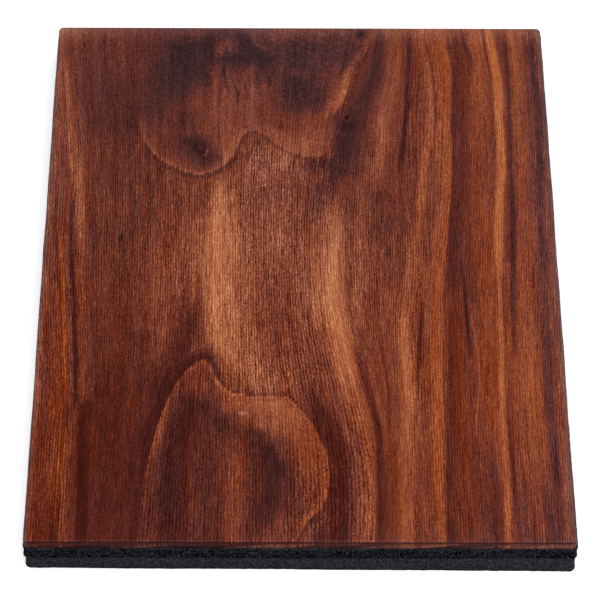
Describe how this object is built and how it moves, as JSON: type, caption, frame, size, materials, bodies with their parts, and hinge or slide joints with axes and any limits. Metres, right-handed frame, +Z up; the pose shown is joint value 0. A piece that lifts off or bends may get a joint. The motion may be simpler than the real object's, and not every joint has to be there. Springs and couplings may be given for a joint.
{
  "type": "foot stomp box",
  "caption": "Flat foot percussion plate: a walnut top on a foam layer and a rubber mat, with a piezo pickup under the wood and a jack socket in the rear edge.",
  "frame": {"origin": "on the floor, under the middle of the walnut plate", "axes": "+X to the right, +Y to the rear edge with the jack socket, +Z up out of the walnut plate"},
  "size_m": [0.201, 0.2641, 0.0173],
  "materials": {
    "walnut": "satin",
    "black_foam": "matte",
    "mat_rubber": "matte",
    "bond_film": "satin",
    "clear_glue": "gloss",
    "brass": "satin",
    "piezo_ceramic": "matte",
    "silvering": "satin",
    "solder": "satin",
    "red_insulation": "satin",
    "black_insulation": "satin",
    "cloth_tape": "matte",
    "black_anodised": "satin",
    "zinc_steel": "satin",
    "nickel": "polished",
    "frame_steel": "satin",
    "spring_bronze": "satin",
    "phenolic": "satin"
  },
  "bodies": {
    "base": {"base_mat": "mat_rubber", "mat_bond_film": "bond_film", "foam_layer": "black_foam"},
    "plate": {"plate_bond_film": "bond_film", "walnut_top": "walnut", "piezo_bond": "clear_glue", "piezo_brass_disc": "brass", "piezo_ceramic": "piezo_ceramic", "piezo_electrode": "silvering", "piezo_solder": "solder", "hot_lead": "red_insulation", "ground_lead": "black_insulation", "lead_tapes": "cloth_tape", "jack_bracket": "black_anodised", "bracket_screws": "zinc_steel", "jack_bushing": "nickel", "jack_washer": "nickel", "jack_nut": "nickel", "jack_frame": "frame_steel", "sleeve_lug": "spring_bronze", "tip_terminal": "spring_bronze", "stack_wafers": "phenolic", "stack_rivets": "brass", "lug_solder": "solder"},
    "tip_contact": {"tip_spring": "spring_bronze"}
  },
  "joints": [
    {"name": "plate_press", "type": "slide", "parent": "base", "child": "plate", "axis": [0, 0, -1], "range_m": [0, 0.001], "stiffness_N_per_m": 40000, "deforming": ["foam_layer"]},
    {"name": "tip_contact_flex", "type": "hinge", "parent": "plate", "child": "tip_contact", "pos_m": [0.0076, 0.11725, 0.0071], "axis": [0, 0, 1], "range_deg": [0, 7], "stiffness_Nm_per_rad": 0.05}
  ]
}
